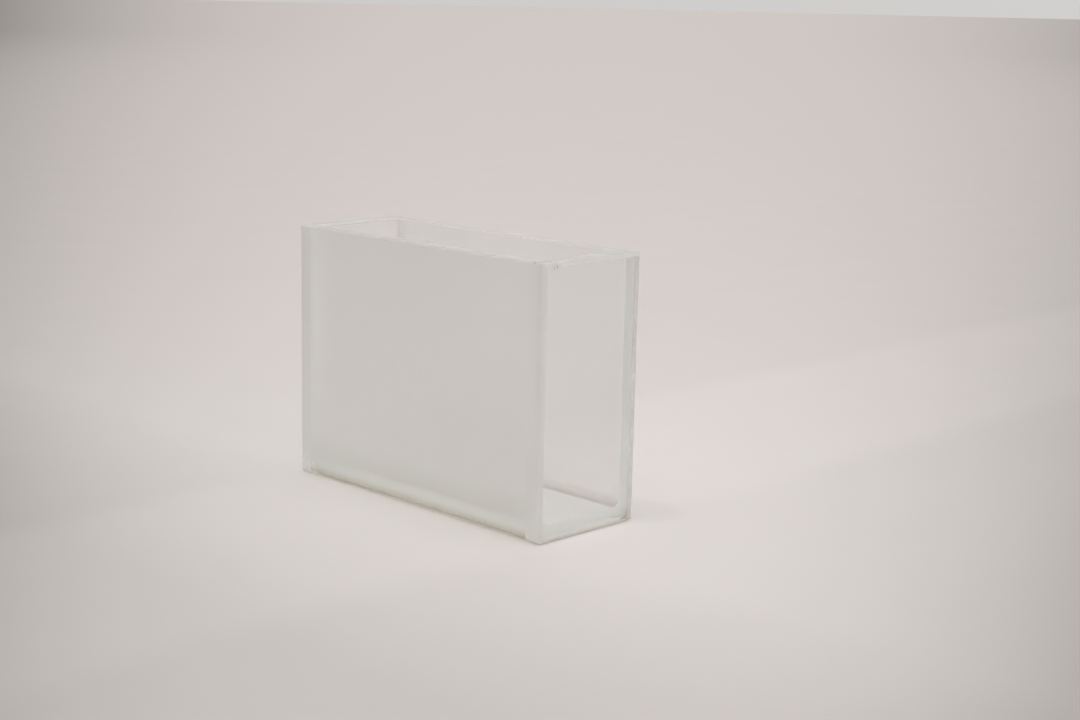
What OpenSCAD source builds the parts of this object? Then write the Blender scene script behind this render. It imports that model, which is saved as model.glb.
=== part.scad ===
// Long-path glass cuvette, open at the top.
// A ground-glass trough of U section carries the liquid. A polished flat window is fused
// face to face on each end of it, and light passes through both along the X axis.
// The origin is at the centre of the foot: +X along the light path, +Z up through the mouth.

/* [Cell] */
// Light path: distance between the inner faces of the two windows
path_length = 50; // [10:1:100]
// Clear width between the trough's side walls
inner_width = 16.6; // [8:0.1:40]
// Height from the foot to the ground rim
cell_height = 41; // [25:0.5:60]

/* [Trough] */
// Thickness of the side walls
wall_t = 1.9; // [1.5:0.1:4]
// Thickness of the floor under the liquid
floor_t = 2.3; // [1.5:0.1:6]
// Radius where each side wall runs into the floor, inside
inner_corner_r = 1.2; // [0.5:0.1:4]
// Radius of the long bottom edges, outside
outer_corner_r = 2; // [0.5:0.1:3]
// Bevel ground along the rim, on its outer and mouth edges
rim_bevel = 0.3; // [0.1:0.05:0.6]

/* [Windows] */
// Thickness of each window plate
window_t = 2.8; // [1.5:0.1:5]
// Bevel ground round the outer face of each window
window_bevel = 0.6; // [0.1:0.05:1]
// Radius of each window's two bottom corners
window_corner_r = 1; // [0.3:0.1:3]

/* [Hidden] */
// Outer width over both side walls, which the windows share
cell_width = inner_width + 2 * wall_t;
// Length by which a cutting shape runs on past the glass that it cuts
overrun = 5;
$fn = 96;

// Outline, standing on the Y = 0 line, of a block with its two lower corners rounded
module round_footed(width, height, corner_r) {
    translate([-width / 2, corner_r]) square([width, height - corner_r]);
    translate([corner_r - width / 2, 0]) square([width - 2 * corner_r, height]);
    for (side = [-1, 1])
        translate([side * (width / 2 - corner_r), corner_r]) circle(r = corner_r);
}

// Outline of the whole cell seen along the light path, with the rim's outer bevels
module end_outline(corner_r) {
    difference() {
        round_footed(cell_width, cell_height, corner_r);
        for (side = [-1, 1])
            translate([side * cell_width / 2, cell_height]) rotate(45)
                square(rim_bevel * sqrt(2), center = true);
    }
}

// Upright prism with a foot of length by width, whose sides lean out at 45 degrees:
// the bevel of the mouth, which the trough and both windows take from one shape
module mouth_bevel() {
    rise = rim_bevel + overrun;
    translate([0, 0, cell_height - rim_bevel]) intersection() {
        rotate([90, 0, 0]) linear_extrude(cell_width, center = true)
            flared_outline(path_length, rise);
        rotate([90, 0, 90]) linear_extrude(path_length + 2 * window_t, center = true)
            flared_outline(inner_width, rise);
    }
}

module flared_outline(width, rise) {
    polygon([
        [-width / 2, 0], [width / 2, 0],
        [width / 2 + rise, rise], [-width / 2 - rise, rise]
    ]);
}

// Frosted U-shaped trough, moulded in one and cut to the light path's length
module trough() {
    color([0.86, 0.87, 0.85]) difference() {
        rotate([90, 0, 90]) linear_extrude(path_length, center = true) difference() {
            end_outline(outer_corner_r);
            translate([0, floor_t]) round_footed(inner_width, cell_height, inner_corner_r);
        }
        mouth_bevel();
    }
}

// A plate seen on its edge: fused face on the Y axis, the other face bevelled at both ends
module plate_edge(span) {
    half = span / 2;
    polygon([
        [0, -half], [window_t - window_bevel, -half], [window_t, window_bevel - half],
        [window_t, half - window_bevel], [window_t - window_bevel, half], [0, half]
    ]);
}

// Window plate at its place on the +X end of the trough
module window_plate() {
    difference() {
        translate([path_length / 2, 0, 0]) intersection() {
            rotate([90, 0, 90]) linear_extrude(window_t) end_outline(window_corner_r);
            linear_extrude(cell_height) plate_edge(cell_width);
            translate([0, 0, cell_height / 2]) rotate([90, 0, 0])
                linear_extrude(cell_width, center = true) plate_edge(cell_height);
        }
        mouth_bevel();
    }
}

module front_window() {
    color([0.84, 0.91, 0.89, 0.5]) window_plate();
}

module rear_window() {
    color([0.84, 0.91, 0.89, 0.5]) mirror([1, 0, 0]) window_plate();
}

trough();
front_window();
rear_window();
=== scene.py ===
# %% [markdown]
# # A long-path glass cuvette
# This cell holds a liquid for a photometer. A trough of ground glass carries the liquid, and a
# polished window is fused on each end, so that a beam can run through it along X. Glass has
# little colour of its own, so nearly all of its look comes from three things: which faces are
# polished and which are ground, how the edges catch the light, and what lies behind.

# %% Load the frame
import math

import bpy
from mathutils import Matrix, Vector


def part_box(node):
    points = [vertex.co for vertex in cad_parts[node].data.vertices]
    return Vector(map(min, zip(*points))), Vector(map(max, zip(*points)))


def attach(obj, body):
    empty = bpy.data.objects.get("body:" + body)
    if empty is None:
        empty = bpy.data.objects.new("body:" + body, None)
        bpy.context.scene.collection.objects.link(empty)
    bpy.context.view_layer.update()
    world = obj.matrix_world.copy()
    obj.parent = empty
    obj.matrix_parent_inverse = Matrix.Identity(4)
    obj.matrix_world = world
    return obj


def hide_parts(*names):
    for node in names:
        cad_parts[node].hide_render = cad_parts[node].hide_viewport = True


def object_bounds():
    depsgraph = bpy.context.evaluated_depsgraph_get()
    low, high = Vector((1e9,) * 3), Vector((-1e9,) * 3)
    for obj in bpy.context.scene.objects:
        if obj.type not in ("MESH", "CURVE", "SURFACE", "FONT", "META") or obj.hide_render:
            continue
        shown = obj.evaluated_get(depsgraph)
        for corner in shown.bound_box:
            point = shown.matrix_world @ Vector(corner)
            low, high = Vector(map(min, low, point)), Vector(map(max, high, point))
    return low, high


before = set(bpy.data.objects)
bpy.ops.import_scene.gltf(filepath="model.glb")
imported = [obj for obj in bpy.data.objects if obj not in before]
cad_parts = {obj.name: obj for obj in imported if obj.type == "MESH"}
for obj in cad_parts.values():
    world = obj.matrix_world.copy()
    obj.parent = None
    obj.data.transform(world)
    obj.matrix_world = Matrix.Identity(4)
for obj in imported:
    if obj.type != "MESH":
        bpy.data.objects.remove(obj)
cad_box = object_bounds()
MM = 0.001
box_in_mm = [[round(v / MM, 2) for v in corner] for corner in cad_box]
print("nodes:", sorted(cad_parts), "box in mm:", box_in_mm)

# %% [markdown]
# ## The camera
# A long lens from about seven cell heights away keeps the edges nearly parallel. The camera
# stands to the right of the long front wall and a little above the rim, so the front wall, one
# window and a sliver of the mouth show together. It leans by about one degree, and it aims
# beside the cell, which puts the cell left of the middle.

# %% Camera
CAMERA_AZIMUTH = math.radians(44.554)
CAMERA_ELEVATION = math.radians(11.271)
CAMERA_ROLL = math.radians(1.246)
CAMERA_DISTANCE = 290.08 * MM
CAMERA_AIM = Vector((0.295, 17.151, 19.593)) * MM
SENSOR_WIDTH_IN_MM = 36
FOCAL_LENGTH_IN_MM = 59.32
NEAR_CLIP = 10 * MM

towards_camera = Vector(
    (
        math.sin(CAMERA_AZIMUTH) * math.cos(CAMERA_ELEVATION),
        -math.cos(CAMERA_AZIMUTH) * math.cos(CAMERA_ELEVATION),
        math.sin(CAMERA_ELEVATION),
    )
)
camera_data = bpy.data.cameras.new("camera")
camera_data.sensor_width = SENSOR_WIDTH_IN_MM
camera_data.lens = FOCAL_LENGTH_IN_MM
camera_data.clip_start = NEAR_CLIP
camera = bpy.data.objects.new("camera", camera_data)
bpy.context.scene.collection.objects.link(camera)
stand = Matrix.Translation(CAMERA_AIM + CAMERA_DISTANCE * towards_camera)
turn = towards_camera.to_track_quat("Z", "Y").to_matrix().to_4x4()
camera.matrix_world = stand @ turn @ Matrix.Rotation(CAMERA_ROLL, 4, "Z")
bpy.context.scene.camera = camera
print("camera at", [round(v / MM, 1) for v in camera.matrix_world.translation], "mm")

# %% [markdown]
# ## Picking and editing
# Most tools of Blender work on what is selected, just as with the mouse. So the script selects
# one piece, opens it for editing, uses the tools, and closes it again.

# %% Helpers for picking and editing
def deselect_all():
    """Leave nothing selected."""
    bpy.ops.object.select_all(action="DESELECT")


def pick(piece):
    """Select one object alone and make it the active one."""
    deselect_all()
    piece.select_set(True)
    bpy.context.view_layer.objects.active = piece


def start_edit(piece):
    """Open a piece for editing by faces, with none of them selected."""
    pick(piece)
    bpy.ops.object.mode_set(mode="EDIT")
    bpy.ops.mesh.select_mode(type="FACE")
    bpy.ops.mesh.select_all(action="DESELECT")


def end_edit():
    """Close the piece that is open."""
    bpy.ops.object.mode_set(mode="OBJECT")


print("pieces are edited by faces")

# %% [markdown]
# ## Pieces from the frame
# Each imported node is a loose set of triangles. A copy of it is merged into one closed shell
# with flat many-sided faces, which takes cuts and per-face finishes cleanly, and the copy then
# stands for the node.

# %% Copy a node into a clean shell
MERGE_DISTANCE = 0.001 * MM
FLAT_ANGLE = math.radians(0.5)
SHARP_ANGLE = math.radians(30)


def merged_copy(node_name, piece_name):
    """A copy of a node without its triangle edges, its material and its own properties."""
    pick(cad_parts[node_name])
    bpy.ops.object.duplicate()
    piece = bpy.context.object
    piece.name = piece_name
    piece.data.name = piece_name
    piece.parent = None
    piece.data.materials.clear()
    for key in list(piece.keys()):
        del piece[key]
    bpy.ops.mesh.customdata_custom_splitnormals_clear()
    start_edit(piece)
    bpy.ops.mesh.select_all(action="SELECT")
    bpy.ops.mesh.remove_doubles(threshold=MERGE_DISTANCE)
    bpy.ops.mesh.dissolve_limited(angle_limit=FLAT_ANGLE)
    bpy.ops.mesh.select_all(action="DESELECT")
    end_edit()
    bpy.ops.object.shade_smooth_by_angle(angle=SHARP_ANGLE)
    print(f"{piece_name}: {len(piece.data.vertices)} vertices, {len(piece.data.polygons)} faces")
    return piece


trough = merged_copy("trough", "ground_trough")
front_window = merged_copy("front_window", "front_window_plate")
rear_window = merged_copy("rear_window", "rear_window_plate")

# %% [markdown]
# ## The sizes that the finish needs
# The finish changes from face to face, so the sizes of the channel are measured on the solids
# and not typed in. The channel's own points all lie more than a millimetre above the paper.

# %% Measure the solids
SLACK = 0.01 * MM
ON_PAPER = 0.001 * MM
ABOVE_FOOT = 1 * MM

_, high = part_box("trough")
half_path, half_width, cell_height = high.x, high.y, high.z
window_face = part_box("front_window")[1].x
points = [v.co for v in trough.data.vertices]
half_inside = min(abs(p.y) for p in points if p.z > cell_height / 2)
inner_points = [p for p in points if abs(p.y) < half_inside + SLACK and p.z < cell_height / 2]
floor_level = min(p.z for p in inner_points if p.z > ABOVE_FOOT)
fillet_radius = max(p.z for p in inner_points) - floor_level
foot_radius = half_width - max(abs(p.y) for p in points if p.z < ON_PAPER)
for name, value in (
    ("half path", half_path),
    ("half width", half_width),
    ("half inside width", half_inside),
    ("floor level", floor_level),
    ("inside fillet", fillet_radius),
    ("foot radius", foot_radius),
    ("height", cell_height),
    ("window face", window_face),
):
    print(f"{name}: {value / MM:.2f} mm")

# %% [markdown]
# ## Numbers in a shader
# Every finish below is built from the same few steps: some arithmetic on a position, a soft
# step between two places, and a mix of two colours. Small functions keep the node trees short
# enough to read. These make the numbers.

# %% Helpers for numbers
def maths(tree, operation, first, second=None, clamp=False):
    """A Math node. Each input is a number or another node's output."""
    node = tree.nodes.new("ShaderNodeMath")
    node.operation = operation
    node.use_clamp = clamp
    for socket, value in zip(node.inputs, (first, second)):
        if value is None:
            continue
        if isinstance(value, (int, float)):
            socket.default_value = value
        else:
            tree.links.new(value, socket)
    return node.outputs["Value"]


def vector_value(tree, operation, vector, other=None):
    """A Vector Math node that gives a number, such as a length, a distance or a dot product."""
    node = tree.nodes.new("ShaderNodeVectorMath")
    node.operation = operation
    tree.links.new(vector, node.inputs[0])
    if other is not None:
        node.inputs[1].default_value = other
    return node.outputs["Value"]


def ramp(tree, value, start, end):
    """0 up to start and 1 from end on, with a smooth rise between them."""
    node = tree.nodes.new("ShaderNodeMapRange")
    node.interpolation_type = "SMOOTHSTEP"
    node.inputs["From Min"].default_value = start
    node.inputs["From Max"].default_value = end
    tree.links.new(value, node.inputs["Value"])
    return node.outputs["Result"]


def varied(tree, mask, middle, swing):
    """A number that swings a little round its middle as the mask goes from 0 to 1."""
    return maths(tree, "ADD", maths(tree, "MULTIPLY", mask, 2 * swing), middle - swing)


print("number helpers:", maths.__name__, vector_value.__name__, ramp.__name__, varied.__name__)

# %% [markdown]
# ## Colours in a shader
# A tone is never typed in twice. Where one place is only a little darker than another, its
# colour is the other one times a share. A mask then mixes the two.

# %% Helpers for colours
def mixed(tree, factor, first, second, blend="MIX"):
    """A colour mix. The factor is a number or an output, and each colour is three numbers or an output."""
    node = tree.nodes.new("ShaderNodeMix")
    node.data_type = "RGBA"
    node.blend_type = blend
    if isinstance(factor, float):
        node.inputs["Factor"].default_value = factor
    else:
        tree.links.new(factor, node.inputs["Factor"])
    for name, value in (("A", first), ("B", second)):
        if isinstance(value, tuple):
            node.inputs[name].default_value = (*value, 1)
        else:
            tree.links.new(value, node.inputs[name])
    return node.outputs["Result"]


def tinted(colour, share):
    """The same colour with each channel times one number."""
    return tuple(round(channel * share, 4) for channel in colour)


print("colour helpers:", mixed.__name__, tinted.__name__)

# %% [markdown]
# ## Places and spots
# A finish that changes from place to place needs to know where it is. The position comes from
# the object itself, so it moves with the piece. A soft spot round a point makes a stain or a
# pale mark.

# %% Helpers for places
SPOT_CORE = 0.4


def position(tree):
    """The point on the surface in metres, whole and split into X, Y and Z."""
    coordinates = tree.nodes.new("ShaderNodeTexCoord")
    split = tree.nodes.new("ShaderNodeSeparateXYZ")
    tree.links.new(coordinates.outputs["Object"], split.inputs[0])
    return coordinates.outputs["Object"], split.outputs["X"], split.outputs["Y"], split.outputs["Z"]


def spot(tree, centre, radius):
    """1 round one point in space, fading to 0 at the radius. Both are in millimetres."""
    point, _, _, _ = position(tree)
    distance = vector_value(tree, "DISTANCE", point, [v * MM for v in centre])
    return ramp(tree, distance, radius * MM, SPOT_CORE * radius * MM)


def spotted(tree, colour, spots, strength, spot_colour):
    """A colour with a soft spot of another one at each place."""
    for centre, radius in spots:
        share = maths(tree, "MULTIPLY", spot(tree, centre, radius), strength)
        colour = mixed(tree, share, colour, spot_colour)
    return colour


print("a spot is even up to", SPOT_CORE, "of its radius")

# %% [markdown]
# ## Materials and groups
# Each material starts from an empty tree, so that nothing is in it that the script doesn't
# show. A node group lets several materials share one effect.

# %% Helpers for materials and groups
def new_material(name):
    """An empty node material, with its tree and its output node."""
    material = bpy.data.materials.new(name)
    material.use_nodes = True
    tree = material.node_tree
    tree.nodes.clear()
    return material, tree, tree.nodes.new("ShaderNodeOutputMaterial")


def new_group(name, inputs, outputs):
    """A node group with float sockets, its input node and its output node."""
    group = bpy.data.node_groups.new(name, "ShaderNodeTree")
    for socket_name, value in inputs:
        socket = group.interface.new_socket(socket_name, in_out="INPUT", socket_type="NodeSocketFloat")
        socket.default_value = value
    for socket_name in outputs:
        group.interface.new_socket(socket_name, in_out="OUTPUT", socket_type="NodeSocketFloat")
    return group, group.nodes.new("NodeGroupInput"), group.nodes.new("NodeGroupOutput")


def place_node_group(tree, group, values=()):
    """One use of a group in a tree. The values set its inputs."""
    node = tree.nodes.new("ShaderNodeGroup")
    node.node_tree = group
    for socket_name, value in values:
        node.inputs[socket_name].default_value = value
    return node.outputs


print("tree helpers:", new_material.__name__, new_group.__name__, place_node_group.__name__)

# %% [markdown]
# ## Depth into the U-shaped section
# The ends of the trough are fused to the windows, so the outline of the U shows through each
# window as an even frosted frame. This group gives the distance from a section with round
# lower corners. It is negative inside the section, so a plain comparison tells the fused part
# of a window's inner face from the open part in front of the channel.

# %% A group that measures the distance from a round-cornered section
section_inputs = (("Half Width", 0.01), ("Foot Height", 0.0), ("Corner Radius", 0.001))
section_group, given, result = new_group("section_depth", section_inputs, ["Outside Distance"])
_, _, y, z = position(section_group)
across = maths(section_group, "ABSOLUTE", y)
radius = given.outputs["Corner Radius"]
straight_half = maths(section_group, "SUBTRACT", given.outputs["Half Width"], radius)
straight_foot = maths(section_group, "ADD", given.outputs["Foot Height"], radius)
beyond_side = maths(section_group, "SUBTRACT", across, straight_half)
beyond_foot = maths(section_group, "SUBTRACT", straight_foot, z)
side_part = maths(section_group, "POWER", maths(section_group, "MAXIMUM", beyond_side, 0.0), 2.0)
foot_part = maths(section_group, "POWER", maths(section_group, "MAXIMUM", beyond_foot, 0.0), 2.0)
round_part = maths(section_group, "SQRT", maths(section_group, "ADD", side_part, foot_part))
flat_part = maths(section_group, "MINIMUM", maths(section_group, "MAXIMUM", beyond_side, beyond_foot), 0.0)
distance = maths(section_group, "SUBTRACT", maths(section_group, "ADD", round_part, flat_part), radius)
section_group.links.new(distance, result.inputs["Outside Distance"])


def section_depth(tree, half_width_value, foot_height, corner_radius):
    """The distance outside a section of the given size, measured across the cell."""
    values = (
        ("Half Width", half_width_value),
        ("Foot Height", foot_height),
        ("Corner Radius", corner_radius),
    )
    return place_node_group(tree, section_group, values)["Outside Distance"]


print("section group:", len(section_group.nodes), "nodes")

# %% [markdown]
# ## Where the tone changes
# Thick glass looks green where much of it lies behind the surface, as along the round foot. The walls and
# the plate edges grow darker towards the paper, and the plate edges are darker along a line behind the front
# window's bevel. Painted shade darkens the wall just above the floor of the channel, the lines along the
# foot, the corners of the channel, the glass beside the rear joint, the sides of the fused joint and the far
# foot of the windows. Each such place gets a mask, and a pair of limits says where the mask starts and where
# it is full.

# %% Limits of the masks
# Heights above the paper.
LOWER_HALF = (32 * MM, 5 * MM)
# Where painted shade darkens the wall just above the floor of the channel.
FLOOR_SHADE = (8.3 * MM, 3.8 * MM)
FOOT_TINT = (3.5 * MM, 2.9 * MM)
# Where the painted shade line along the foot of the trough runs.
FOOT_SHADE_LINE = (2.25 * MM, 0.55 * MM)
# Where the thin painted shade line along the foot of the plates runs.
PLATE_SHADE_LINE = (0.28 * MM, 0.06 * MM)
# Where painted shade darkens the far foot of the windows, by height here and across the cell below.
FAR_FOOT_HEIGHT = (2.4 * MM, 0.8 * MM)
# Distances across the cell, from its middle and then from its far side.
SIDE = (4.5 * MM, 8.5 * MM)
FAR_FOOT_SIDE = (-2.0 * MM, -0.6 * MM)
# Distances along the cell, from the rear joint.
# Where painted shade darkens the glass beside the rear joint.
REAR_END = (1.4 * MM, -0.1 * MM)
CLEAR_OF_REAR_END = (-0.1 * MM, 1.2 * MM)
# Depths behind the front window's face, where the line fades out and where it fades in.
BEVEL_LINE_BACK = (2.0 * MM, 0.75 * MM)
BEVEL_LINE_FRONT = (0.0 * MM, 0.6 * MM)
# The corner mask, which carries painted shade and extra roughness, reaches a little past the fillet.
CORNER_REACH = 1.3 * fillet_radius
CORNER_STRENGTH = 2.2


def from_edge(edge, limits):
    """Limits that count from an edge, as limits that count from the middle of the cell."""
    return [edge + limit for limit in limits]


print("corner tone reaches", round(CORNER_REACH / MM, 2), "mm")

# %% [markdown]
# ## One group for all the masks
# Several materials meet along the foot and in the corners, and their tones have to change at
# the same places. So all the masks come from one group, and every material takes the ones that
# it needs.

# %% A group of masks for the places on the cell
PLACES = [
    "Lower Half",
    "Foot Tint",
    "Foot Shade Line",
    "Plate Shade Line",
    "Floor Shade",
    "Corner",
    "Side",
    "Rear End",
    "Bevel Line",
    "Far Foot Shade",
]
place_group, _, result = new_group("place_masks", (), PLACES)


def give(name, mask):
    """Link a mask to the group's output of that name."""
    place_group.links.new(mask, result.inputs[name])


_, x, y, z = position(place_group)
across = maths(place_group, "ABSOLUTE", y)
give("Lower Half", ramp(place_group, z, *LOWER_HALF))
# Painted shade above the floor of the channel.
give("Floor Shade", ramp(place_group, z, *FLOOR_SHADE))
give("Foot Tint", ramp(place_group, z, *FOOT_TINT))
clear_end = ramp(place_group, x, *from_edge(-half_path, CLEAR_OF_REAR_END))
# Painted shade along the foot, kept clear of the rear end.
give("Foot Shade Line", maths(place_group, "MULTIPLY", ramp(place_group, z, *FOOT_SHADE_LINE), clear_end))
# Painted shade along the foot of the plates.
give("Plate Shade Line", maths(place_group, "MULTIPLY", ramp(place_group, z, *PLATE_SHADE_LINE), clear_end))
# The corner mask carries painted shade and extra roughness.
side_part = maths(place_group, "SUBTRACT", across, half_inside - CORNER_REACH)
foot_part = maths(place_group, "SUBTRACT", floor_level + CORNER_REACH, z)
side_part = maths(place_group, "DIVIDE", maths(place_group, "MAXIMUM", side_part, 0.0), CORNER_REACH)
foot_part = maths(place_group, "DIVIDE", maths(place_group, "MAXIMUM", foot_part, 0.0), CORNER_REACH)
both_parts = maths(place_group, "MULTIPLY", side_part, foot_part)
give("Corner", maths(place_group, "MULTIPLY", both_parts, CORNER_STRENGTH, clamp=True))
# The side mask places painted shade up the sides of the fused joint.
give("Side", ramp(place_group, across, *SIDE))
# Painted shade beside the rear joint.
give("Rear End", ramp(place_group, x, *from_edge(-half_path, REAR_END)))
behind_face = maths(place_group, "SUBTRACT", window_face, x)
line_back = ramp(place_group, behind_face, *BEVEL_LINE_BACK)
line_front = ramp(place_group, behind_face, *BEVEL_LINE_FRONT)
give("Bevel Line", maths(place_group, "MULTIPLY", line_back, line_front))
# Painted shade on the far foot.
low_enough = ramp(place_group, z, *FAR_FOOT_HEIGHT)
far_enough = ramp(place_group, y, *from_edge(half_width, FAR_FOOT_SIDE))
give("Far Foot Shade", maths(place_group, "MULTIPLY", low_enough, far_enough))


def masks(tree):
    """The masks of all the places, by name."""
    return place_node_group(tree, place_group)


print("place masks:", len(PLACES), "made with", len(place_group.nodes), "nodes")

# %% [markdown]
# ## The grain of ground glass
# Grinding leaves a fine, even grain, and the grain is a little deeper in some areas than in
# others, which shows as faint clouds. Dust settles in it as rare pale specks. The group gives
# the clouds, the grain as a height, and the specks. Its inputs set their scale, so the
# polished faces can use it too, for the thin film that wiping leaves.

# %% A group of clouds, grain and specks
CLOUDS_PER_METRE = 110.0
GRAINS_PER_METRE = 2600.0
SPECKS_PER_METRE = 160.0
CLOUD_DETAIL = 3.0
CLOUD_EDGES = (0.25, 0.75)
GRAIN_DETAIL = 2.0
SPECK_EDGES = (0.045, 0.02)
CELLS_WITHOUT_SPECK = 0.72

grain_inputs = (
    ("Clouds per Metre", CLOUDS_PER_METRE),
    ("Grains per Metre", GRAINS_PER_METRE),
    ("Specks per Metre", SPECKS_PER_METRE),
)
grain_group, given, result = new_group("ground_grain", grain_inputs, ["Clouds", "Grain", "Specks"])
point, _, _, _ = position(grain_group)


def noise(tree, where, scale, detail):
    """Soft noise, with as many patches to the metre as the scale says."""
    node = tree.nodes.new("ShaderNodeTexNoise")
    node.inputs["Detail"].default_value = detail
    tree.links.new(where, node.inputs["Vector"])
    tree.links.new(scale, node.inputs["Scale"])
    return node.outputs["Fac"]


patches = noise(grain_group, point, given.outputs["Clouds per Metre"], CLOUD_DETAIL)
grain_group.links.new(ramp(grain_group, patches, *CLOUD_EDGES), result.inputs["Clouds"])
grain = noise(grain_group, point, given.outputs["Grains per Metre"], GRAIN_DETAIL)
grain_group.links.new(grain, result.inputs["Grain"])
cells = grain_group.nodes.new("ShaderNodeTexVoronoi")
grain_group.links.new(point, cells.inputs["Vector"])
grain_group.links.new(given.outputs["Specks per Metre"], cells.inputs["Scale"])
cell_pick = grain_group.nodes.new("ShaderNodeSeparateColor")
grain_group.links.new(cells.outputs["Color"], cell_pick.inputs["Color"])
rare = maths(grain_group, "GREATER_THAN", cell_pick.outputs["Red"], CELLS_WITHOUT_SPECK)
speck = maths(grain_group, "MULTIPLY", ramp(grain_group, cells.outputs["Distance"], *SPECK_EDGES), rare)
grain_group.links.new(speck, result.inputs["Specks"])


def grained(tree, clouds=CLOUDS_PER_METRE, grains=GRAINS_PER_METRE, specks=SPECKS_PER_METRE):
    """One use of the grain, with the number of clouds, grains and specks to the metre."""
    values = (
        ("Clouds per Metre", clouds),
        ("Grains per Metre", grains),
        ("Specks per Metre", specks),
    )
    return place_node_group(tree, grain_group, values)


print("grain group:", len(grain_group.nodes), "nodes")

# %% [markdown]
# ## What every glass finish shares
# One kind of glass makes all the pieces, so its refraction is set once. Ground faces share
# their clouds, grain and dust, and differ only in colour and in how much light they let through.

# %% Helpers for the glass finishes
GLASS_IOR = 1.5
CLOUD_DARKEST = (0.98, 0.98, 0.975)
CLOUD_PALEST = (1.0, 1.0, 1.0)
DUST_COLOUR = (0.98, 0.97, 0.95)
DUST_STRENGTH = 0.35
ROUGHNESS_SWING = 0.05
GRAIN_DEPTH = 0.02 * MM
GRAIN_STRENGTH = 0.25


def glass(name, colour, roughness, transmission=1.0):
    """A new glass material, with its tree and its shader."""
    material, tree, output = new_material(name)
    shader = tree.nodes.new("ShaderNodeBsdfPrincipled")
    shader.inputs["Base Color"].default_value = (*colour, 1)
    shader.inputs["Transmission Weight"].default_value = transmission
    shader.inputs["IOR"].default_value = GLASS_IOR
    shader.inputs["Roughness"].default_value = roughness
    tree.links.new(shader.outputs["BSDF"], output.inputs["Surface"])
    return material, tree, shader


def bump(tree, shader, height, strength, depth):
    """Small heights that only tilt the light, and don't change the shape."""
    node = tree.nodes.new("ShaderNodeBump")
    node.inputs["Strength"].default_value = strength
    node.inputs["Distance"].default_value = depth
    tree.links.new(height, node.inputs["Height"])
    tree.links.new(node.outputs["Normal"], shader.inputs["Normal"])


def ground_finish(tree, shader, colour, roughness):
    """Clouds, grain and dust over a colour, which is three numbers or a node's output."""
    grain = grained(tree)
    cloud_tone = mixed(tree, grain["Clouds"], CLOUD_DARKEST, CLOUD_PALEST)
    clouded = mixed(tree, 1.0, colour, cloud_tone, blend="MULTIPLY")
    dust = maths(tree, "MULTIPLY", grain["Specks"], DUST_STRENGTH)
    tree.links.new(mixed(tree, dust, clouded, DUST_COLOUR), shader.inputs["Base Color"])
    tree.links.new(varied(tree, grain["Clouds"], roughness, ROUGHNESS_SWING), shader.inputs["Roughness"])
    bump(tree, shader, grain["Grain"], GRAIN_STRENGTH, GRAIN_DEPTH)


print("index of refraction:", GLASS_IOR)

# %% [markdown]
# ## Marks that wear has left
# A few small stains sit on the front wall, and the left end of its foot carries whitish marks,
# where tiny flakes have come off. They are too flat to model, so soft spots of colour make them.

# %% Stains and pale marks
STAIN_COLOUR = (0.83, 0.82, 0.78)
STAIN_STRENGTH = 0.28
STAINS = (
    ((1.8, -10.2, 21.4), 0.5),
    ((19.1, -10.2, 28.2), 0.45),
    ((-0.5, -10.2, 17.5), 0.9),
    ((8.6, -10.2, 14.0), 0.5),
)
PALE_MARK_COLOUR = (0.98, 0.96, 0.95)
PALE_MARK_STRENGTH = 0.6
PALE_MARKS = (
    ((-26.9, -10.2, 1.9), 0.55),
    ((-26.4, -10.2, 2.9), 0.5),
    ((-25.7, -10.2, 1.7), 0.55),
    ((-24.3, -10.2, 1.9), 0.6),
)
print(len(STAINS), "stains and", len(PALE_MARKS), "pale marks")

# %% [markdown]
# ## Ground glass
# The long walls and the foot are ground, not polished: they let light through and scatter it,
# so they look milky and show nothing sharp behind them. A rough glass surface does most of it.
# A small share of plain scattering makes it as even as the real one. The foot has the green of thick glass,
# and the dark line along it is painted shade. The walls grow darker towards the bottom. Painted shade also
# darkens the wall just above the floor of the channel and beside the rear joint, and painted light makes the
# back wall a little lighter. The foot of the back wall is plainer, because it is mostly seen through the
# cell, where a strong tone would stain the floor of the channel.

# %% Ground walls
GROUND_ROUGHNESS = 0.7
GROUND_TRANSMISSION = 0.85
GROUND_COLOUR = (0.947, 0.937, 0.927)
GROUND_LOW_COLOUR = (0.89, 0.88, 0.87)
# Painted shade on the wall just above the floor of the channel.
FLOOR_SHADE_COLOUR = (0.82, 0.825, 0.80)
GROUND_FOOT_COLOUR = (0.843, 0.868, 0.845)
# Painted shade in the dark line along the front foot.
FOOT_SHADE_LINE_COLOUR = (0.60, 0.575, 0.475)
BACK_FOOT_COLOUR = (0.87, 0.865, 0.85)
# Painted shade in the line along the back wall's foot.
BACK_SHADE_LINE_COLOUR = (0.66, 0.63, 0.59)
# Painted light: the back wall is a little lighter.
BACK_LIGHT_SHARE = 1.025
# Painted shade on the wall beside the rear joint.
REAR_END_SHADE_SHARE = 0.95
REAR_FOOT_SHARE = 0.96
REAR_FOOT = (-13 * MM, -21 * MM)
FRONT_TO_BACK = (-1 * MM, 1 * MM)

ground_glass, tree, shader = glass("ground_glass", GROUND_COLOUR, GROUND_ROUGHNESS, GROUND_TRANSMISSION)
place = masks(tree)
_, x, y, _ = position(tree)
back = ramp(tree, y, *FRONT_TO_BACK)
# Painted light on the back wall.
colour = mixed(tree, back, GROUND_COLOUR, tinted(GROUND_COLOUR, BACK_LIGHT_SHARE))
colour = mixed(tree, place["Lower Half"], colour, GROUND_LOW_COLOUR)
# Painted shade beside the rear joint.
colour = mixed(tree, place["Rear End"], colour, tinted(GROUND_COLOUR, REAR_END_SHADE_SHARE))
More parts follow.
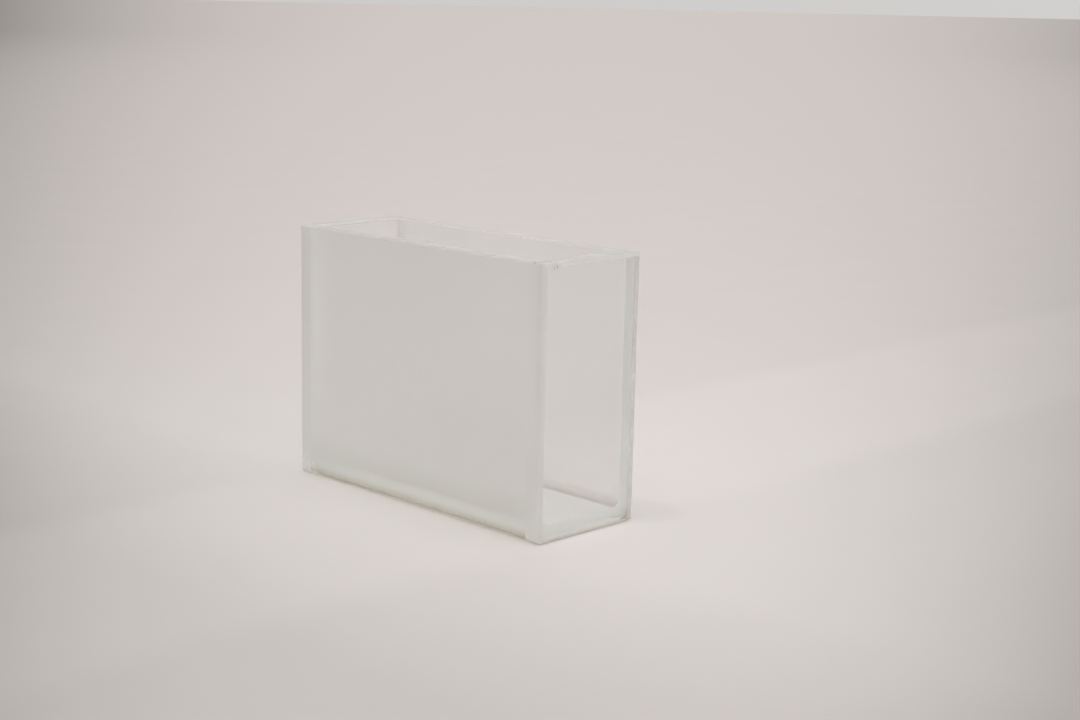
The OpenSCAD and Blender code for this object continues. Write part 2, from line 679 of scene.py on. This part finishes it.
# Painted shade just above the floor of the channel.
floor_shade = mixed(tree, back, FLOOR_SHADE_COLOUR, BACK_FOOT_COLOUR)
colour = mixed(tree, place["Floor Shade"], colour, floor_shade)
rear_foot = ramp(tree, x, *REAR_FOOT)
foot_tint = mixed(tree, rear_foot, GROUND_FOOT_COLOUR, tinted(GROUND_FOOT_COLOUR, REAR_FOOT_SHARE))
foot_tint = mixed(tree, back, foot_tint, BACK_FOOT_COLOUR)
colour = mixed(tree, place["Foot Tint"], colour, foot_tint)
# Painted shade: the dark line along the foot.
foot_shade_line = mixed(tree, back, FOOT_SHADE_LINE_COLOUR, BACK_SHADE_LINE_COLOUR)
colour = mixed(tree, place["Foot Shade Line"], colour, foot_shade_line)
colour = spotted(tree, colour, PALE_MARKS, PALE_MARK_STRENGTH, PALE_MARK_COLOUR)
colour = spotted(tree, colour, STAINS, STAIN_STRENGTH, STAIN_COLOUR)
ground_finish(tree, shader, colour, GROUND_ROUGHNESS)
print("ground glass:", len(tree.nodes), "nodes")

# %% [markdown]
# ## The edges of the window plates
# The narrow edges of the plates are ground too, but they are deeper in glass, so more of what they show is
# scattered light. They darken towards the paper, on the far side and along a line behind the front bevel.
# Painted shade darkens the rear plate's edges, the far foot and a thin line along the foot.

# %% Plate edges
EDGE_COLOUR = (0.94, 0.93, 0.92)
EDGE_LOW_COLOUR = (0.872, 0.862, 0.852)
EDGE_TRANSMISSION = 0.65
EDGE_LOW_POWER = 3.0
# Painted shade on the rear plate's edges.
EDGE_REAR_SHADE_SHARE = 0.93
EDGE_LINE_SHARE = 0.95
FAR_SIDE = (7 * MM, 9 * MM)
FAR_SIDE_SHARE = 0.97
# Painted shade on the far foot of the plates.
FAR_FOOT_SHADE_SHARE = 0.85
# Painted shade in the thin line along the foot of the plates.
PLATE_SHADE_LINE_COLOUR = (0.74, 0.715, 0.64)

ground_edge, tree, shader = glass("ground_edge", EDGE_COLOUR, GROUND_ROUGHNESS, EDGE_TRANSMISSION)
place = masks(tree)
low_end = maths(tree, "POWER", place["Lower Half"], EDGE_LOW_POWER)
colour = mixed(tree, low_end, EDGE_COLOUR, EDGE_LOW_COLOUR)
# Painted shade on the rear plate's edges.
colour = mixed(tree, place["Rear End"], colour, tinted(EDGE_COLOUR, EDGE_REAR_SHADE_SHARE))
colour = mixed(tree, place["Bevel Line"], colour, tinted(EDGE_COLOUR, EDGE_LINE_SHARE))
_, _, y, _ = position(tree)
colour = mixed(tree, ramp(tree, y, *FAR_SIDE), colour, tinted(EDGE_COLOUR, FAR_SIDE_SHARE))
# Painted shade on the far foot.
colour = mixed(tree, place["Far Foot Shade"], colour, tinted(EDGE_COLOUR, FAR_FOOT_SHADE_SHARE))
# Painted shade along the foot of the plates.
colour = mixed(tree, place["Plate Shade Line"], colour, PLATE_SHADE_LINE_COLOUR)
colour = spotted(tree, colour, PALE_MARKS, PALE_MARK_STRENGTH, PALE_MARK_COLOUR)
ground_finish(tree, shader, colour, GROUND_ROUGHNESS)
print("plate edges:", len(tree.nodes), "nodes")

# %% [markdown]
# ## Rim and underside
# The rim was lapped flat in one go after fusing, and its narrow bevels with it. Less light
# passes through it than through the walls, so it looks a little darker. The underside rests on
# the paper and takes up its tone, so it lets almost nothing through.

# %% Rim and underside
RIM_COLOUR = (0.85, 0.845, 0.825)
RIM_TRANSMISSION = 0.6
UNDERSIDE_COLOUR = (0.96, 0.955, 0.95)
UNDERSIDE_TRANSMISSION = 0.05

ground_rim, tree, shader = glass("ground_rim", RIM_COLOUR, GROUND_ROUGHNESS, RIM_TRANSMISSION)
ground_finish(tree, shader, RIM_COLOUR, GROUND_ROUGHNESS)
underside, tree, shader = glass("underside", UNDERSIDE_COLOUR, GROUND_ROUGHNESS, UNDERSIDE_TRANSMISSION)
ground_finish(tree, shader, UNDERSIDE_COLOUR, GROUND_ROUGHNESS)
print("rim and underside made")

# %% [markdown]
# ## The inside of the channel
# The channel is smooth but not optically flat, since it was ground and then fire-polished. Its round corners
# are duller than its flats, and painted shade darkens them more as they rise. That is why the far one reads
# as a soft grey line along the floor.

# %% Channel
CHANNEL_ROUGHNESS = 0.08
CHANNEL_SWING = 0.02
CHANNEL_CLOUDS = 180.0
CHANNEL_COLOUR = (1.0, 1.0, 0.995)
# Painted shade in the fillets, darker as they rise.
FILLET_SHADE_COLOUR = (0.945, 0.93, 0.925)
FILLET_HIGH_SHADE_COLOUR = (0.86, 0.84, 0.835)
FILLET_ROUGHNESS = 0.5
FILLET_RISE = (0.2 * fillet_radius, 0.9 * fillet_radius)

smooth_glass, tree, shader = glass("smooth_glass", CHANNEL_COLOUR, CHANNEL_ROUGHNESS)
corner = masks(tree)["Corner"]
film = grained(tree, clouds=CHANNEL_CLOUDS)
_, _, _, z = position(tree)
rise = ramp(tree, z, *from_edge(floor_level, FILLET_RISE))
# Painted shade in the fillets.
fillet_shade = mixed(tree, rise, FILLET_SHADE_COLOUR, FILLET_HIGH_SHADE_COLOUR)
tree.links.new(mixed(tree, corner, CHANNEL_COLOUR, fillet_shade), shader.inputs["Base Color"])
flat_roughness = varied(tree, film["Clouds"], CHANNEL_ROUGHNESS, CHANNEL_SWING)
extra = maths(tree, "MULTIPLY", corner, FILLET_ROUGHNESS - CHANNEL_ROUGHNESS)
tree.links.new(maths(tree, "ADD", extra, flat_roughness), shader.inputs["Roughness"])
print("channel roughness", CHANNEL_ROUGHNESS, "and fillets", FILLET_ROUGHNESS)

# %% [markdown]
# ## The polished windows
# The windows are optically flat and nearly clear, with a trace of green. Wiping has left a
# film so thin that it only shows as a slight change of gloss, with some dust in it, and there
# is one small fleck in the upper half.

# %% Outer faces of the windows
POLISHED_COLOUR = (0.998, 1.0, 0.998)
WIPE_CLOUDS = 70.0
WIPE_EDGES = (0.55, 1.0)
WIPE_ROUGHNESS = 0.03
WINDOW_SPECKS = 110.0
WINDOW_DUST_STRENGTH = 0.12
WINDOW_DUST_COLOUR = (0.75, 0.74, 0.72)
FLECK = ((27.8, -0.2, 29.2), 0.35)
FLECK_STRENGTH = 0.25

polished_glass, tree, shader = glass("polished_glass", POLISHED_COLOUR, 0.0)
film = grained(tree, clouds=WIPE_CLOUDS, specks=WINDOW_SPECKS)
wiped = ramp(tree, film["Clouds"], *WIPE_EDGES)
tree.links.new(maths(tree, "MULTIPLY", wiped, WIPE_ROUGHNESS), shader.inputs["Roughness"])
fleck = maths(tree, "MULTIPLY", spot(tree, *FLECK), FLECK_STRENGTH)
dust = maths(tree, "MAXIMUM", fleck, maths(tree, "MULTIPLY", film["Specks"], WINDOW_DUST_STRENGTH))
tree.links.new(mixed(tree, dust, POLISHED_COLOUR, WINDOW_DUST_COLOUR), shader.inputs["Base Color"])
print("outer faces of the windows:", len(tree.nodes), "nodes")

# %% [markdown]
# ## The inner faces of the windows
# No air is left where the U is fused on. The inner face is invisible there, so that the joint shows as it
# does on the real cell. Inside the channel it is polished. The narrow strip beyond the round foot of the
# trough is open to the air and ground, and its far corner is darkened in painted shade.

# %% Inner faces of the windows
EXPOSED_SHARE = 0.9
# Painted shade in the far corner of the strip outside the trough.
FAR_CORNER_SHADE_COLOUR = (0.50, 0.47, 0.37)
DARK_CORNER_HEIGHT = (3.5 * MM, 2.5 * MM)

inner_face_glass, tree, shader = glass("inner_face_glass", POLISHED_COLOUR, 0.0)
outside_channel = section_depth(tree, half_inside, floor_level, fillet_radius)
inside_channel = maths(tree, "LESS_THAN", outside_channel, 0.0)
outside_trough = maths(tree, "GREATER_THAN", section_depth(tree, half_width, 0.0, foot_radius), 0.0)
tree.links.new(maths(tree, "MAXIMUM", inside_channel, outside_trough), shader.inputs["Alpha"])
tree.links.new(maths(tree, "MULTIPLY", outside_trough, GROUND_ROUGHNESS), shader.inputs["Roughness"])
_, _, y, z = position(tree)
# Painted shade in the far corner.
far_corner = maths(tree, "MULTIPLY", ramp(tree, y, *FRONT_TO_BACK), ramp(tree, z, *DARK_CORNER_HEIGHT))
exposed = mixed(tree, far_corner, tinted(EDGE_COLOUR, EXPOSED_SHARE), FAR_CORNER_SHADE_COLOUR)
inner_colour = mixed(tree, outside_trough, POLISHED_COLOUR, exposed)
tree.links.new(inner_colour, shader.inputs["Base Color"])
print("inner faces of the windows:", len(tree.nodes), "nodes")

# %% [markdown]
# ## The fused joint
# Seen through a window, the end of the U is a plain pale frame with a hint of green. It is lighter along the
# bottom than up the sides, whose darker tone is painted shade, and its far foot is darkened in painted shade
# too. It scatters light and gives no reflection of its own, so it has neither transmission nor gloss.

# %% Fused joint
JOINT_MIDDLE_COLOUR = (0.975, 0.99, 0.985)
# Painted shade on the sides of the joint.
JOINT_SIDE_SHADE_COLOUR = (0.935, 0.95, 0.94)
# Painted shade on the far foot of the joint.
JOINT_FAR_FOOT_SHADE_COLOUR = (0.85, 0.84, 0.78)
STREAK_CLOUDS = 260.0
STREAK_SHARE = 0.985

joint_material, tree, shader = glass("fused_joint", JOINT_SIDE_SHADE_COLOUR, 1.0, 0.0)
shader.inputs["Specular IOR Level"].default_value = 0.0
streaks = grained(tree, clouds=STREAK_CLOUDS)["Clouds"]
side_shade_tone = mixed(tree, streaks, tinted(JOINT_SIDE_SHADE_COLOUR, STREAK_SHARE), JOINT_SIDE_SHADE_COLOUR)
middle_tone = mixed(tree, streaks, tinted(JOINT_MIDDLE_COLOUR, STREAK_SHARE), JOINT_MIDDLE_COLOUR)
place = masks(tree)
# Painted shade up the sides of the joint.
tone = mixed(tree, place["Side"], middle_tone, side_shade_tone)
# Painted shade on the far foot.
tone = mixed(tree, place["Far Foot Shade"], tone, JOINT_FAR_FOOT_SHADE_COLOUR)
tree.links.new(tone, shader.inputs["Base Color"])
print("fused joint:", len(tree.nodes), "nodes")

# %% [markdown]
# ## Which face has which finish
# Each face is picked by where it lies and which way it faces, so the choice still holds when a
# size of the cell changes. A face counts as square on to an axis when nearly all of its normal
# lies along it, and as edge on when almost none does.

# %% Tests for the faces
TINY = 0.02 * MM
SQUARE_ON = 0.9
EDGE_ON = 0.1
RIM_DEPTH = 0.35 * MM


def channel_distance(point):
    """The distance outside the channel's section, by the same sum as in the shader group."""
    side = abs(point.y) - (half_inside - fillet_radius)
    foot = (floor_level + fillet_radius) - point.z
    return math.hypot(max(side, 0), max(foot, 0)) + min(max(side, foot), 0) - fillet_radius


def is_channel(centre, normal):
    """The walls, the floor and the fillets inside the trough."""
    return abs(channel_distance(centre)) < TINY and abs(normal.x) < EDGE_ON and centre.z < cell_height - TINY


def is_rim(centre, normal):
    """The flat of the rim and its bevels."""
    return centre.z > cell_height - RIM_DEPTH and normal.z > EDGE_ON


def is_joint(centre, normal):
    """An end of the trough, where a window is fused on."""
    return abs(normal.x) > SQUARE_ON and abs(centre.x) > half_path - TINY


def is_underside(centre, normal):
    """The flat that rests on the paper."""
    return centre.z < TINY and normal.z < -SQUARE_ON


def is_outer_face(centre, normal):
    """A window's face towards the air."""
    return abs(centre.x) > window_face - TINY and abs(normal.x) > SQUARE_ON


def is_inner_face(centre, normal):
    """A window's face towards the trough."""
    return abs(centre.x) < half_path + TINY and abs(normal.x) > SQUARE_ON


print("faces are told apart to", TINY / MM, "mm")

# %% [markdown]
# ## Giving out the finishes
# The first finish of a piece covers all of it, and each later one then takes the faces that
# its test names. The slots are filled in edit mode, as one would do it by hand.

# %% Give each face its finish
def finish_faces(piece, rules):
    """rules: (material, test) pairs. The first material takes every face that no test names."""
    for material, _ in rules:
        piece.data.materials.append(material)
    for slot, (_, test) in enumerate(rules):
        if test is None:
            continue
        start_edit(piece)
        end_edit()
        for face in piece.data.polygons:
            face.select = test(face.center, face.normal)
        chosen = sum(face.select for face in piece.data.polygons)
        bpy.ops.object.mode_set(mode="EDIT")
        piece.active_material_index = slot
        bpy.ops.object.material_slot_assign()
        end_edit()
        print(f"{piece.name}: {chosen} faces take {piece.data.materials[slot].name}")


trough_rules = [
    (ground_glass, None),
    (ground_rim, is_rim),
    (smooth_glass, is_channel),
    (joint_material, is_joint),
    (underside, is_underside),
]
window_rules = [
    (ground_edge, None),
    (ground_rim, is_rim),
    (polished_glass, is_outer_face),
    (inner_face_glass, is_inner_face),
]
finish_faces(trough, trough_rules)
finish_faces(front_window, window_rules)
finish_faces(rear_window, window_rules)

# %% [markdown]
# ## What a chip looks like
# Glass chips where two faces meet. A fresh break is clearer than the ground glass round it, but
# its small ripples still scatter some light. Where a nick is narrow, grime stays in it and
# makes it a dark fleck.

# %% Finishes for the chips
CHIP_COLOUR = (0.97, 0.965, 0.94)
CHIP_ROUGHNESS = 0.35
CHIP_TRANSMISSION = 0.88
CHIP_RIPPLES = 4000.0
CHIP_RIPPLE_STRENGTH = 0.3
GRIME_COLOUR = (0.52, 0.475, 0.43)
GRIME_ROUGHNESS = 0.5
GRIME_TRANSMISSION = 0.3
GRIME_CLOUDS = 1500.0
GRIME_PALEST_SHARE = 1.4

chip_glass, tree, shader = glass("chip_glass", CHIP_COLOUR, CHIP_ROUGHNESS, CHIP_TRANSMISSION)
bump(tree, shader, grained(tree, grains=CHIP_RIPPLES)["Grain"], CHIP_RIPPLE_STRENGTH, GRAIN_DEPTH)
grimy_nick, tree, shader = glass("grimy_nick", GRIME_COLOUR, GRIME_ROUGHNESS, GRIME_TRANSMISSION)
grime = grained(tree, clouds=GRIME_CLOUDS)["Clouds"]
grime_tone = mixed(tree, grime, GRIME_COLOUR, tinted(GRIME_COLOUR, GRIME_PALEST_SHARE))
tree.links.new(grime_tone, shader.inputs["Base Color"])
print("chip finishes:", chip_glass.name, "and", grimy_nick.name)

# %% [markdown]
# ## Chips in the rim and the foot
# The largest chip lies on the front window's upper edge, near its left corner: three leaning
# scoops with two narrow dirty strokes between them. A few small nicks follow the rim and the
# foot. Each chip is a stretched ball, here called a stone, that is taken out of its piece.

# %% Where the chips are
# The piece, the centre and the three radii of the stone in millimetres, and its finish.
CHIPS = (
    (front_window, (28.05, -8.4, 41.0), (0.75, 0.34, 1.1), chip_glass),
    (front_window, (28.0, -7.75, 40.95), (0.7, 0.34, 1.35), chip_glass),
    (front_window, (28.0, -7.1, 41.05), (0.65, 0.34, 1.2), chip_glass),
    (front_window, (28.1, -8.08, 40.9), (0.55, 0.1, 1.0), grimy_nick),
    (front_window, (28.1, -7.43, 40.9), (0.55, 0.1, 1.05), grimy_nick),
    (front_window, (26.5, -7.9, 41.1), (0.3, 0.3, 0.25), grimy_nick),
    (front_window, (27.0, -7.0, 41.1), (0.3, 0.3, 0.25), grimy_nick),
    (front_window, (27.7, -5.6, 41.0), (0.25, 0.35, 0.25), grimy_nick),
    (front_window, (25.6, -10.2, 41.0), (0.35, 0.25, 0.3), grimy_nick),
    (trough, (17.3, -10.2, 41.0), (0.4, 0.35, 0.35), chip_glass),
    (trough, (6.6, -10.2, 41.0), (0.5, 0.35, 0.35), chip_glass),
    (trough, (-9.4, 10.2, 41.0), (0.45, 0.3, 0.35), chip_glass),
    (rear_window, (-26.6, -10.35, 1.0), (0.5, 0.35, 0.6), chip_glass),
    (rear_window, (-27.8, 6.1, 41.0), (0.3, 0.5, 0.35), chip_glass),
)
CHIP_LEAN = math.radians(-20)
STONE_LUMPS = 0.02 * MM
print(len(CHIPS), "chips")

# %% [markdown]
# ## Cutting
# A slightly lumpy stone breaks more naturally than a smooth one. The stone carries the finish
# of the break, and the Boolean passes that finish on to the fresh surface.

# %% Cut the chips
def chip_stone(centre, radii, surface, seed):
    """A leaning, slightly lumpy stone. The seed makes its lumps the same in each run."""
    deselect_all()
    bpy.ops.mesh.primitive_ico_sphere_add(subdivisions=3, radius=1.0, location=[v * MM for v in centre])
    stone = bpy.context.object
    stone.scale = [v * MM for v in radii]
    stone.rotation_euler.x = CHIP_LEAN
    stone.data.materials.append(surface)
    bpy.ops.object.transform_apply(location=True, rotation=True, scale=True)
    bpy.ops.object.mode_set(mode="EDIT")
    bpy.ops.mesh.select_all(action="SELECT")
    bpy.ops.transform.vertex_random(offset=STONE_LUMPS, seed=seed)
    bpy.ops.object.mode_set(mode="OBJECT")
    return stone


def cut_away(piece, stone):
    """Take the stone's volume out of the piece, and then the stone out of the scene."""
    pick(piece)
    cut = piece.modifiers.new("chip", "BOOLEAN")
    cut.operation = "DIFFERENCE"
    cut.solver = "EXACT"
    cut.material_mode = "TRANSFER"
    cut.object = stone
    bpy.ops.object.modifier_apply(modifier=cut.name)
    bpy.data.objects.remove(stone, do_unlink=True)


for seed, (piece, centre, radii, surface) in enumerate(CHIPS):
    cut_away(piece, chip_stone(centre, radii, surface, seed))
for piece in (trough, front_window, rear_window):
    pick(piece)
    bpy.ops.object.shade_smooth_by_angle(angle=SHARP_ANGLE)
    names = [slot.material.name for slot in piece.material_slots]
    fresh = sum(names[face.material_index] in ("chip_glass", "grimy_nick") for face in piece.data.polygons)
    print(f"{piece.name}: {fresh} faces left by chips, {len(piece.data.polygons)} in all")

# %% [markdown]
# ## Finished pieces stand for the nodes
# All three pieces are fused, so they ride on the one body. Each takes the place of the node it
# was copied from.

# %% Stand for the nodes
for piece, node in ((trough, "trough"), (front_window, "front_window"), (rear_window, "rear_window")):
    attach(piece, "root")
    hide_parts(node)
    print(piece.name, "stands for", node)

# %% [markdown]
# ## The paper underneath
# The cell stands on pale warm paper that is so large that it also fills the background. It lies
# just under the foot, so that the two surfaces don't fall together.

# %% Sheet of paper
PAPER_RADIUS_IN_M = 60
PAPER_DROP = 0.05 * MM

deselect_all()
bpy.ops.mesh.primitive_circle_add(
    vertices=96, radius=PAPER_RADIUS_IN_M, fill_type="NGON", location=(0, 0, -PAPER_DROP)
)
floor = bpy.context.object
floor.name = "floor"
print("floor of", floor.dimensions.x, "m across")

# %% [markdown]
# ## The tone of the paper
# The tone falls off with the distance, and further to the sides and towards the front, as it
# does when the light comes from above and behind. A soft extra shade lies beside the cell,
# where the walls keep some light away. A very faint mottle keeps the paper from looking like a
# screen.

# %% Paper material
FLOOR_NEAR = (0.892, 0.862, 0.852)
FLOOR_FAR = (0.715, 0.675, 0.655)
FLOOR_FADE = 110 * MM
PAPER_ROUGHNESS = 0.8
PAPER_GLOSS = 0.2

floor_material, tree, output = new_material("floor_paper")
shader = tree.nodes.new("ShaderNodeBsdfPrincipled")
shader.inputs["Roughness"].default_value = PAPER_ROUGHNESS
shader.inputs["Specular IOR Level"].default_value = PAPER_GLOSS
tree.links.new(shader.outputs["BSDF"], output.inputs["Surface"])
floor.data.materials.append(floor_material)
point, x, y, _ = position(tree)
reach = vector_value(tree, "LENGTH", point)
spread = maths(tree, "ADD", maths(tree, "DIVIDE", reach, FLOOR_FADE), 1.0)
paper = mixed(tree, maths(tree, "DIVIDE", 1.0, spread), FLOOR_FAR, FLOOR_NEAR)
print("paper material:", floor_material.name)

# %% [markdown]
# ## Shade to the sides, in front and beside the cell
# The side shade opens like a fan from a point far in front of the cell. It grows with the third
# power of the angle, so the middle stays plain, and it has faded out well before that point.
# The front shade is a straight slope with a limit. The shades and the mottle are added, and
# the sum mixes the paper with black.

# %% Shades on the paper
TO_SIDE = math.radians(45.4)
AWAY = math.radians(-44.6)
FAN_POINT = 280 * MM
FAN_NEAREST = 60 * MM
FAN_MIDDLE = 0.03
FAN_WIDEST = 0.34
FAN_POWER = 3.0
FAN_STRENGTH_NEAR = 8.5
FAN_STRENGTH_GAIN = 6.0
FAN_FAR_IN_M = (0.3, 4.0)
FAN_FADE = (-220 * MM, -120 * MM)
FRONT_START = -6 * MM
FRONT_SLOPE_PER_M = 3.0
FRONT_LIMIT = 0.16
BESIDE = (22 * MM, 34 * MM)
BESIDE_STRENGTH = 0.034
CORNER_SPOT = ((25.5, 15.0, 0.0), 8.0)
CORNER_SPOT_STRENGTH = 1.6
MOTTLE_CLOUDS = 40.0
MOTTLE_STRENGTH = 0.012


def along(angle):
    """How far a point on the paper lies from the cell in one direction."""
    return vector_value(tree, "DOT_PRODUCT", point, (math.sin(angle), math.cos(angle), 0))


away = along(AWAY)
to_fan_point = maths(tree, "MAXIMUM", maths(tree, "ADD", away, FAN_POINT), FAN_NEAREST)
fan = maths(tree, "SUBTRACT", maths(tree, "DIVIDE", along(TO_SIDE), to_fan_point), FAN_MIDDLE)
fan = maths(tree, "POWER", maths(tree, "MINIMUM", maths(tree, "ABSOLUTE", fan), FAN_WIDEST), FAN_POWER)
far_share = ramp(tree, reach, *FAN_FAR_IN_M)
fan_strength = maths(tree, "ADD", maths(tree, "MULTIPLY", far_share, FAN_STRENGTH_GAIN), FAN_STRENGTH_NEAR)
side_shade = maths(tree, "MULTIPLY", fan, fan_strength, clamp=True)
side_shade = maths(tree, "MULTIPLY", side_shade, ramp(tree, away, *FAN_FADE))
to_front = maths(tree, "MAXIMUM", maths(tree, "SUBTRACT", FRONT_START, y), 0.0)
front_shade = maths(tree, "MINIMUM", maths(tree, "MULTIPLY", to_front, FRONT_SLOPE_PER_M), FRONT_LIMIT)
beside = ramp(tree, maths(tree, "ABSOLUTE", x), *BESIDE)
behind_corner = maths(tree, "MULTIPLY", spot(tree, *CORNER_SPOT), CORNER_SPOT_STRENGTH)
beside_shade = maths(tree, "MULTIPLY", maths(tree, "ADD", beside, behind_corner), BESIDE_STRENGTH)
mottle = maths(tree, "MULTIPLY", grained(tree, clouds=MOTTLE_CLOUDS)["Clouds"], MOTTLE_STRENGTH)
shade = maths(tree, "ADD", maths(tree, "ADD", side_shade, front_shade), beside_shade)
shade = maths(tree, "ADD", shade, mottle, clamp=True)
tree.links.new(mixed(tree, shade, paper, (0.0, 0.0, 0.0)), shader.inputs["Base Color"])
print("paper:", len(tree.nodes), "nodes")

# %% [markdown]
# ## Light
# Glass shows its surroundings, so the light is a whole pale room and not a few small lamps.
# The room is a little lighter behind the cell than in front of it. A large soft ceiling light
# stands nearly overhead. All of it is at a plain level, at which a pale colour stays pale and
# doesn't clip.

# %% Pale room with a soft ceiling light
ROOM_FRONT = (0.48, 0.475, 0.465)
ROOM_BACK = (0.66, 0.645, 0.63)
ROOM_TILT = math.radians(90)
ROOM_SIDE = math.radians(170)
CEILING = (1.45, 1.405, 1.375)
CEILING_TILT = math.radians(15)
CEILING_SIDE = math.radians(60)
CEILING_SPREAD = 3.0

world = bpy.data.worlds.new("pale_room")
bpy.context.scene.world = world
world.use_nodes = True
tree = world.node_tree
background = tree.nodes["Background"]
direction = tree.nodes.new("ShaderNodeTexCoord").outputs["Generated"]


def facing(tilt, side):
    """1 straight towards a direction and -1 away from it.

    The tilt counts from straight up, and the side goes round from the front.
    """
    towards = (math.sin(tilt) * math.sin(side), -math.sin(tilt) * math.cos(side), math.cos(tilt))
    return vector_value(tree, "DOT_PRODUCT", direction, towards)


back_share = maths(tree, "MULTIPLY", maths(tree, "ADD", facing(ROOM_TILT, ROOM_SIDE), 1.0), 0.5)
room = mixed(tree, back_share, ROOM_FRONT, ROOM_BACK)
to_ceiling = maths(tree, "MAXIMUM", facing(CEILING_TILT, CEILING_SIDE), 0.0)
ceiling_share = maths(tree, "POWER", to_ceiling, CEILING_SPREAD)
tree.links.new(mixed(tree, ceiling_share, room, CEILING), background.inputs["Color"])
background.inputs["Strength"].default_value = 1.0
print("room from", ROOM_FRONT, "to", ROOM_BACK, "with a ceiling light of", CEILING)

# %% [markdown]
# ## Render settings
# Light crosses many faces of the cell, so the paths are long. Blurring of sharp reflections is
# off, because it would turn the clear windows frosty.

# %% Render settings
scene = bpy.context.scene
scene.view_settings.view_transform = "Standard"
scene.cycles.blur_glossy = 0.0
scene.cycles.max_bounces = 32
scene.cycles.transmission_bounces = 32
scene.cycles.glossy_bounces = 32
scene.cycles.diffuse_bounces = 16
scene.cycles.transparent_max_bounces = 32
print("bounces:", scene.cycles.max_bounces)
